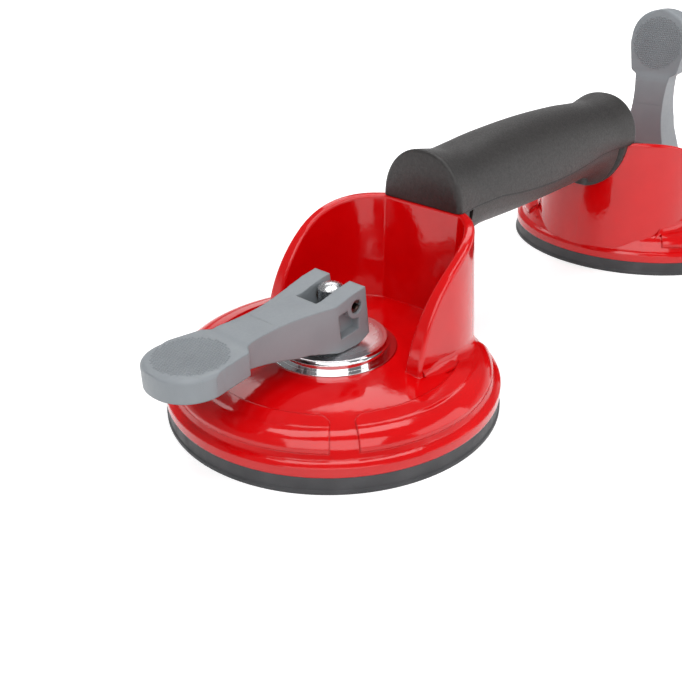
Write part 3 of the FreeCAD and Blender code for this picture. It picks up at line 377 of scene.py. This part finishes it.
class Surface:
    """A piece's surface, for finding points on it by rays."""

    def __init__(self, piece):
        mesh = piece.data
        self.tree = BVHTree.FromPolygons([v.co for v in mesh.vertices],
                                         [tuple(p.vertices) for p in mesh.polygons])

    def hit(self, origin, direction):
        return self.tree.ray_cast(origin, direction)[0]


def cove_section(surface, start, outward, radius):
    """Arc that rounds the corner between a wall and the floor beside it.

    start is in the free space beside the wall, well above the floor; outward is away from the wall.
    Returns points from the wall down to the floor, or None where there is no corner.
    """
    down = Vector((0, 0, -1))
    wall = surface.hit(start, -outward)
    if wall is None:
        return None
    floor = surface.hit(wall + outward * radius, down)
    if floor is None:
        return None
    low = Vector((wall.x, wall.y, floor.z + radius * PROBE_LOW)) + outward * radius * PROBE_OUT
    high = low + Vector((0, 0, radius * PROBE_RISE))
    foot, head = surface.hit(low, -outward), surface.hit(high, -outward)
    near = surface.hit(wall + outward * radius * PROBE_NEAR, down)
    far = surface.hit(wall + outward * radius * PROBE_FAR, down)
    if None in (foot, head, near, far):
        return None
    # Both surfaces as straight lines in the upright plane (outward, up) through the wall point.
    flat = [Vector(((p - wall).dot(outward), p.z)) for p in (foot, head, near, far)]
    rise = (flat[1] - flat[0]).normalized()
    run = (flat[3] - flat[2]).normalized()
    wall_normal = Vector((rise.y, -rise.x))
    floor_normal = Vector((-run.y, run.x))
    shift_wall = flat[0].dot(wall_normal) + radius
    shift_floor = flat[2].dot(floor_normal) + radius
    spread = wall_normal.x * floor_normal.y - wall_normal.y * floor_normal.x
    centre = Vector(((shift_wall * floor_normal.y - shift_floor * wall_normal.y) / spread,
                     (wall_normal.x * shift_floor - floor_normal.x * shift_wall) / spread))
    begin = math.atan2(-wall_normal.y, -wall_normal.x) % (2 * math.pi)
    end = math.atan2(-floor_normal.y, -floor_normal.x) % (2 * math.pi)
    section = []
    for step in range(FOOT_ARC_STEPS + 1):
        angle = begin + (end - begin) * step / FOOT_ARC_STEPS
        point = centre + Vector((math.cos(angle), math.sin(angle))) * radius
        section.append(Vector((wall.x, wall.y, 0)) + outward * point.x + Vector((0, 0, point.y)))
    return section


def sweep(sections):
    """Vertices and faces of a strip through sections with equal numbers of points."""
    vertices = [point for section in sections for point in section]
    count = len(sections[0])
    faces = []
    for row in range(len(sections) - 1):
        for column in range(count - 1):
            corner = row * count + column
            faces.append((corner, corner + 1, corner + count + 1, corner + count))
    return vertices, faces


def foot_stations(cup):
    """Places round the tower as (point, direction away from the wall, fade at the open ends)."""
    centre, way = cup_place(cup)
    middle = centre + Vector((way * TOWER_CENTRE, 0, 0))
    places = [TOWER_CENTRE - index * FOOT_STEP for index in range(FOOT_SECTIONS, 0, -1)]

    def wing(side):
        return [(centre + Vector((way * x, side * FOOT_REACH, 0)), Vector((0, side, 0)),
                 min(1, (x - FOOT_START) / FOOT_FADE)) for x in places]

    rays = [Vector((way * math.cos(angle), math.sin(angle), 0))
            for angle in map(math.radians, range(-90, 91, FOOT_TURN))]
    return wing(-1) + [(middle + ray * FOOT_REACH, ray, 1) for ray in rays] + wing(1)[::-1]


def cup_place(cup):
    """Centre of a cup, and 1 where the handle is at its +X side, else -1."""
    low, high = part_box(cup + "_thrust_washer")
    centre = (low + high) / 2
    return Vector((centre.x, centre.y, high.z)), 1 if cup == "front" else -1


def make_tower_cove(cup):
    """Strip that rounds the corner between the tower's wall and the dome."""
    surface = Surface(NODES[cup + "_housing"])
    sections = []
    for point, outward, fade in foot_stations(cup):
        section = cove_section(surface, point, outward, TOWER_FOOT * max(fade, FOOT_LEAST))
        if section:
            sections.append(section)
    vertices, faces = sweep(sections)
    new_piece(cup + "_tower_cove", vertices, faces, "root", "red_casting")


def knurl_dot(vertices, faces, foot, radius):
    """Low frustum that stands on the thumb pad's top."""
    base = len(vertices)
    turns = [2 * math.pi * corner / KNURL_SIDES for corner in range(KNURL_SIDES)]
    for size, height in ((radius, 0.0), (radius * KNURL_TOP, KNURL_HEIGHT)):
        for angle in turns:
            vertices.append(foot + Vector((size * math.cos(angle), size * math.sin(angle), height)))
    tip = base + KNURL_SIDES
    for corner in range(KNURL_SIDES):
        after = (corner + 1) % KNURL_SIDES
        faces.append((base + corner, base + after, tip + after, tip + corner))
    faces.append(tuple(tip + corner for corner in range(KNURL_SIDES)))


def lever_place(cup):
    """From a lever's own frame, about its pin with the arm along -X, to its place at rest."""
    place = Matrix.Translation(JOINTS[cup + "_lever_swing"]["pos_m"])
    if cup == "rear":
        return place @ Matrix.Rotation(math.pi, 4, "Z") @ Matrix.Rotation(math.pi / 2, 4, "Y")
    return place


def smooth_step(value, start, end):
    """0 at the start and 1 at the end, level at both."""
    share = min(1, max(0, (value - start) / (end - start)))
    return share * share * (3 - 2 * share)


def head_half(along, arm_half):
    """Half width of the thumb pad's outline, with the arm's own behind the shoulder."""
    if along < HEAD_ROUND:
        share = (HEAD_ROUND - along) / (HEAD_ROUND - HEAD_TIP)
        return HEAD_HALF * max(0, 1 - share ** HEAD_FULLNESS) ** (1 / HEAD_FULLNESS)
    side = HEAD_HALF - HEAD_TAPER * (along - HEAD_ROUND) / (SHOULDER_START - HEAD_ROUND)
    return side + (arm_half - side) * smooth_step(along, SHOULDER_START, SHOULDER_END)


def cut_across(work, places):
    """Cut a mesh at each place along X, given in millimetres."""
    for place in sorted(places):
        everything = work.verts[:] + work.edges[:] + work.faces[:]
        bmesh.ops.bisect_plane(work, geom=everything, dist=SAME_POINT / 2,
                               plane_co=(place * MM, 0, 0), plane_no=(1, 0, 0))


def reshape_slice(ring):
    """Move one slice's points to the thumb pad's outline and height."""
    along = ring[0].co.x
    half = max(abs(vertex.co.y) for vertex in ring)
    under = min(vertex.co.z for vertex in ring)
    top = max(vertex.co.z for vertex in ring)
    wide = head_half(along, half) / half if half > 10 * SAME_POINT else 1
    new_top = HEAD_TOP + (top - HEAD_TOP) * smooth_step(along, SHOULDER_START, HEAD_TOP_END)
    fade = min(1, max(0, (along - SHOULDER_END) / (ARM_UNDER_BACK - SHOULDER_END)))
    new_under = HEAD_UNDER + (under - HEAD_UNDER) * fade
    for vertex in ring:
        share = (vertex.co.z - under) / (top - under) if top > under else 0
        vertex.co.y *= wide
        vertex.co.z = new_under + share * (new_top - new_under)


def on_pad_rim(edge):
    """Long top edges at both sides of the thumb pad, between its round end and the shoulder."""
    low, high = sorted((edge.verts[0].co, edge.verts[1].co), key=lambda co: co.x)
    in_run = HEAD_ROUND - RIM_SLACK < low.x and high.x < SHOULDER_START + RIM_SLACK
    on_top = min(low.z, high.z) > HEAD_TOP - 3 * RIM_SLACK
    outside = min(abs(low.y), abs(high.y)) > HEAD_HALF - 1.2 * HEAD_TAPER
    return in_run and on_top and outside and high.x - low.x > 10 * SAME_POINT


def mark_creases(work, sharpest):
    """Smooth shading with hard lines at the edges that turn more than an angle."""
    for edge in work.edges:
        edge.smooth = len(edge.link_faces) == 2 and edge.calc_face_angle() < sharpest
    for face in work.faces:
        face.smooth = True


def make_lever(cup):
    """The CAD lever with its arm cut into slices, which take the fuller thumb pad's outline."""
    place = lever_place(cup)
    work = bmesh.new()
    work.from_mesh(NODES[cup + "_lever"].data)
    bmesh.ops.transform(work, matrix=place.inverted(), verts=work.verts)
    bmesh.ops.remove_doubles(work, verts=work.verts, dist=SAME_POINT)
    bmesh.ops.dissolve_limit(work, angle_limit=SAME_PLANE, verts=work.verts, edges=work.edges)
    shoulder = SHOULDER_END - SHOULDER_START
    cuts = [vertex.co.x for vertex in work.verts if vertex.co.x < ARM_UNDER_BACK]
    cuts += [HEAD_TIP + index * SLICE for index in range(1, SLICES + 1)]
    cuts += [SHOULDER_START + shoulder * index / SHOULDER_SLICES
             for index in range(SHOULDER_SLICES + 1)]
    cut_across(work, {round(cut / MM, 3) for cut in cuts})
    slices = {}
    for vertex in work.verts:
        if vertex.co.x < ARM_UNDER_BACK:
            slices.setdefault(round(vertex.co.x / MM, 2), []).append(vertex)
    for ring in slices.values():
        reshape_slice(ring)
    rim = [edge for edge in work.edges if on_pad_rim(edge)]
    bmesh.ops.bevel(work, geom=rim, offset=HEAD_EDGE, segments=HEAD_EDGE_STEPS, profile=0.5,
                    affect="EDGES", clamp_overlap=True)
    bmesh.ops.triangulate(work, faces=[face for face in work.faces if len(face.verts) > 4])
    bmesh.ops.recalc_face_normals(work, faces=work.faces)
    mark_creases(work, MOULDING_CREASE)
    bmesh.ops.transform(work, matrix=place, verts=work.verts)
    piece = new_piece(cup + "_lever_moulding", [], [], cup + "_cam", "lever_grey")
    work.to_mesh(piece.data)
    work.free()
    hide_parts(cup + "_lever")
    return piece


def make_knurl(cup, lever):
    """Round field of fine dots on the thumb pad."""
    surface = Surface(lever)
    place = lever_place(cup)
    up = place.to_3x3() @ Vector((0, 0, 1))
    vertices, faces = [], []
    rows = int(KNURL_RADIUS / (KNURL_PITCH * KNURL_ROW)) + 1
    for row in range(-rows, rows + 1):
        for column in range(-rows - 1, rows + 2):
            across = (column + 0.5 * (row % 2)) * KNURL_PITCH
            along = row * KNURL_PITCH * KNURL_ROW
            if math.hypot(across, along) < KNURL_RADIUS:
                start = place @ Vector((KNURL_CENTRE + along, across, LEVER_CLEAR))
                foot = place.inverted() @ surface.hit(start, -up)
                foot.z -= KNURL_SINK
                knurl_dot(vertices, faces, foot, KNURL_PITCH * KNURL_FOOT)
    new_piece(cup + "_thumb_knurl", [place @ vertex for vertex in vertices], faces,
              cup + "_cam", "lever_grey", smooth=False)


def between(stations, place):
    """Smooth curve through stations (place, value, ...): the values at a place."""
    places = [station[0] for station in stations]
    index = max(i for i in range(len(places) - 1) if i == 0 or places[i] <= place)
    last = len(stations) - 1
    before, after = stations[max(0, index - 1)], stations[min(last, index + 2)]
    start, end = stations[index], stations[index + 1]
    span = end[0] - start[0]
    share = (place - start[0]) / span
    values = []
    for column in range(1, len(start)):
        rise_in = (end[column] - before[column]) / max(1, end[0] - before[0]) * span
        rise_out = (after[column] - start[column]) / max(1, after[0] - start[0]) * span
        if index == last - 1:
            rise_out = 0
        values.append((2 * share ** 3 - 3 * share ** 2 + 1) * start[column]
                      + (share ** 3 - 2 * share ** 2 + share) * rise_in
                      + (3 * share ** 2 - 2 * share ** 3) * end[column]
                      + (share ** 3 - share ** 2) * rise_out)
    return values


def parting_height(along, half_length, tower_top, lowest):
    """Height of the shells' parting line: level over the tongues, with a long dip in between."""
    reach = half_length - TONGUE_ROOT
    if abs(along) >= reach:
        return tower_top
    sag = tower_top - lowest
    radius = (reach ** 2 + sag ** 2) / (2 * sag)
    return tower_top - (math.sqrt(radius ** 2 - along ** 2) - (radius - sag))


def grip_section(half, top, base, inset):
    """Half ring across the grip, from its near foot over the top, inset all round."""
    ring = []
    for step in range(GRIP_ARC_STEPS + 1):
        angle = math.pi * step / GRIP_ARC_STEPS
        across, up = math.cos(angle), math.sin(angle)
        wide = (half - inset) * math.copysign(abs(across) ** (2 / GRIP_SQUARENESS), across)
        high = base + (top - inset - base) * up ** (2 / GRIP_SQUARENESS)
        ring.append((-wide, high))
    return ring


def grip_places(half_length):
    """Sections from end to end as (distance from the nearer end, inset of the edge, side)."""
    places = [(GRIP_EDGE * share, GRIP_EDGE * (1 - math.sqrt(1 - (1 - share) ** 2)))
              for share in GRIP_EDGE_SHARES]
    inward = GRIP_EDGE + GRIP_STEP
    while inward < half_length:
        places.append((inward, 0))
        inward += GRIP_STEP
    return ([(place, inset, -1) for place, inset in places] + [(half_length, 0, 0)]
            + [(place, inset, 1) for place, inset in reversed(places)])


def outer_ring(half, top, base, inset):
    """The grip's outside across, rounded in at both feet where the shells meet."""
    foot = []
    for step in range(GRIP_SEAM_STEPS):
        angle = math.pi / 2 * step / GRIP_SEAM_STEPS
        foot.append((half - inset - GRIP_SEAM * (1 - math.sin(angle)),
                     base + GRIP_SEAM * (1 - math.cos(angle))))
    return ([(-y, z) for y, z in foot] + grip_section(half, top, base + GRIP_SEAM, inset)
            + foot[::-1])


def inner_ring(half, top, base):
    """The grip's inside across, with as many points as its outside."""
    ring = grip_section(half - GRIP_WALL, top - GRIP_WALL, base, 0)
    return [ring[0]] * GRIP_SEAM_STEPS + ring + [ring[-1]] * GRIP_SEAM_STEPS


def close_shell(outer, inner):
    """Vertices and faces of a shell from its rings, closed along both feet and at both ends."""
    vertices, faces = sweep(outer)
    inner_vertices, inner_faces = sweep(inner)
    offset = len(vertices)
    vertices += inner_vertices
    faces += [tuple(reversed([index + offset for index in face])) for face in inner_faces]
    count = len(outer[0])
    for row in range(len(outer) - 1):
        for column in (0, count - 1):
            corner = row * count + column
            quad = (corner, corner + count, corner + count + offset, corner + offset)
            faces.append(quad if column == 0 else tuple(reversed(quad)))
    for row in (0, len(outer) - 1):
        cap = [row * count + column for column in range(count)]
        faces.append(tuple(cap))
        faces.append(tuple(reversed([index + offset for index in cap])))
        faces.append((cap[0], cap[-1], cap[-1] + offset, cap[0] + offset))
    return vertices, faces


def make_grip():
    """Upper half of the grip: a shell with flared ends, a neck behind each and a fuller middle."""
    low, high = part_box("handle_upper_shell")
    middle_x = (low.x + high.x) / 2
    half_length = (high.x - low.x) / 2
    tower_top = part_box("handle_lower_shell")[1].z
    core_end = half_length - GRIP_WALL
    outer, inner, line = [], [], []
    for place, inset, side in grip_places(half_length):
        half, rise = (value * MM for value in between(GRIP_STATIONS, place / MM))
        top = tower_top + rise
        along = side * (half_length - place)
        core_x = middle_x + max(-core_end, min(core_end, along))
        base = parting_height(along, half_length, tower_top, low.z)
        outside, inside = outer_ring(half, top, base, inset), inner_ring(half, top, base)
        outer.append([Vector((middle_x + along, y, z)) for y, z in outside])
        inner.append([Vector((core_x, y, z)) for y, z in inside])
        line.append((middle_x + along, half - inset, base))
    piece = new_piece("grip_upper_shell", *close_shell(outer, inner), "root", "grip_upper")
    work = bmesh.new()
    work.from_mesh(piece.data)
    bmesh.ops.remove_doubles(work, verts=work.verts, dist=GRIP_SAME_POINT)
    bmesh.ops.recalc_face_normals(work, faces=work.faces)
    mark_creases(work, GRIP_CREASE)
    work.to_mesh(piece.data)
    work.free()
    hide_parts("handle_upper_shell")
    make_parting_shade(line)


def make_parting_shade(line):
    """Painted shade: a near-black strip standing in for the shade in the groove between the shells, along both
    sides and clear of the end faces.
    """
    for name, side in (("near", -1), ("far", 1)):
        sections = []
        for along, half, base in line[SEAM_SKIP:-SEAM_SKIP]:
            outside, inside = half - SEAM_INSET, half - SEAM_DEPTH
            low, high = base - SEAM_UNDER, base + SEAM_OVER
            corners = ((outside, low), (outside, high), (inside, high), (inside, low))
            sections.append([Vector((along, side * y, z)) for y, z in corners + corners[:1]])
        vertices, faces = sweep(sections)
        last = len(vertices) - len(sections[-1])
        faces += [(0, 1, 2, 3), (last + 3, last + 2, last + 1, last)]
        # Painted shade strips, one per side, with the near-black seam finish
        new_piece("seam_%s_side" % name, vertices, faces, "root", "grip_lower", smooth=False)


# Stage

def seen_directly(tree):
    """1 for camera, glossy and transmission rays, and 0 for the light that reaches surfaces."""
    path = tree.nodes.new("ShaderNodeLightPath")
    total = path.outputs["Is Camera Ray"]
    for ray in ("Is Glossy Ray", "Is Transmission Ray"):
        larger = tree.nodes.new("ShaderNodeMath")
        larger.operation = "MAXIMUM"
        tree.links.new(total, larger.inputs[0])
        tree.links.new(path.outputs[ray], larger.inputs[1])
        total = larger.outputs[0]
    return total


def make_floor():
    """Pale floor that keeps the shadows and is white where nothing shades it."""
    mesh = bpy.data.meshes.new("floor")
    middle = (CAD_BOX[0] + CAD_BOX[1]) / 2
    corners = [(x * FLOOR_HALF, y * FLOOR_HALF, 0) for x, y in ((-1, -1), (1, -1), (1, 1), (-1, 1))]
    mesh.from_pydata(corners, [], [(0, 1, 2, 3)])
    floor = bpy.data.objects.new("floor", mesh)
    bpy.context.scene.collection.objects.link(floor)
    shader = Shader("floor", (0.8, 0.8, 0.8), 0.9, Specular_IOR_Level=0.0)
    glow = shader.node("Emission")
    away = shader.ramp(shader.distance_from(middle), 0.0, 1.0, *FLOOR_GLOW_REACH)
    strength = shader.math("MULTIPLY_ADD", away, FLOOR_GLOW_AWAY - FLOOR_GLOW, FLOOR_GLOW)
    seen = seen_directly(shader.tree)
    shader.link(shader.math("MULTIPLY", seen, strength), glow.inputs["Strength"])
    total = shader.node("AddShader")
    shader.link(shader.surface.outputs[0], total.inputs[0])
    shader.link(glow.outputs[0], total.inputs[1])
    shader.link(total.outputs[0], shader.tree.nodes["Material Output"].inputs["Surface"])
    mesh.materials.append(shader.material)


def make_world():
    """White where the camera looks past the floor; soft grey light with a bright low band."""
    world = bpy.data.worlds.new("studio")
    bpy.context.scene.world = world
    world.use_nodes = True
    tree = world.node_tree
    room = tree.nodes["Background"]
    room.inputs["Strength"].default_value = 1
    place = tree.nodes.new("ShaderNodeTexCoord")
    split = tree.nodes.new("ShaderNodeSeparateXYZ")
    ramp = tree.nodes.new("ShaderNodeValToRGB")
    low, high = ramp.color_ramp.elements
    low.position, low.color = ROOM_LOW, WHITE
    high.position, high.color = ROOM_HIGH, ROOM_GREY
    tree.links.new(place.outputs["Generated"], split.inputs[0])
    tree.links.new(split.outputs["Z"], ramp.inputs["Fac"])
    tree.links.new(ramp.outputs["Color"], room.inputs["Color"])
    white = tree.nodes.new("ShaderNodeBackground")
    white.inputs["Color"].default_value = WHITE
    mix = tree.nodes.new("ShaderNodeMixShader")
    path = tree.nodes.new("ShaderNodeLightPath")
    tree.links.new(path.outputs["Is Camera Ray"], mix.inputs["Fac"])
    tree.links.new(room.outputs[0], mix.inputs[1])
    tree.links.new(white.outputs[0], mix.inputs[2])
    tree.links.new(mix.outputs[0], tree.nodes["World Output"].inputs["Surface"])


def make_lights():
    """Rectangular soft boxes that all face the part."""
    for name, place, size, radiance in LAMPS:
        light = bpy.data.lights.new(name, "AREA")
        light.shape = "RECTANGLE"
        light.size, light.size_y = size
        light.energy = LAMP_LEVEL * radiance * math.pi * size[0] * size[1]
        lamp = bpy.data.objects.new(name, light)
        bpy.context.scene.collection.objects.link(lamp)
        lamp.location = place
        lamp.rotation_euler = (Vector(LAMP_AIM) - Vector(place)).to_track_quat("-Z", "Y").to_euler()


def make_camera():
    data = bpy.data.cameras.new("camera")
    data.lens = VIEW_LENS
    data.sensor_width = SENSOR_WIDTH
    data.clip_start = NEAREST_SEEN
    camera = bpy.data.objects.new("camera", data)
    bpy.context.scene.collection.objects.link(camera)
    turn = (Matrix.Rotation(VIEW_AZIMUTH, 4, "Z")
            @ Matrix.Rotation(math.pi / 2 - VIEW_ELEVATION, 4, "X")
            @ Matrix.Rotation(-VIEW_ROLL, 4, "Z"))
    camera.matrix_world = Matrix.Translation(VIEW_PLACE) @ turn
    bpy.context.scene.camera = camera


dress_nodes()
for cup in ("front", "rear"):
    make_tower_cove(cup)
    make_knurl(cup, make_lever(cup))
make_grip()
make_floor()
make_world()
make_lights()
make_camera()
bpy.context.scene.view_settings.view_transform = "Standard"
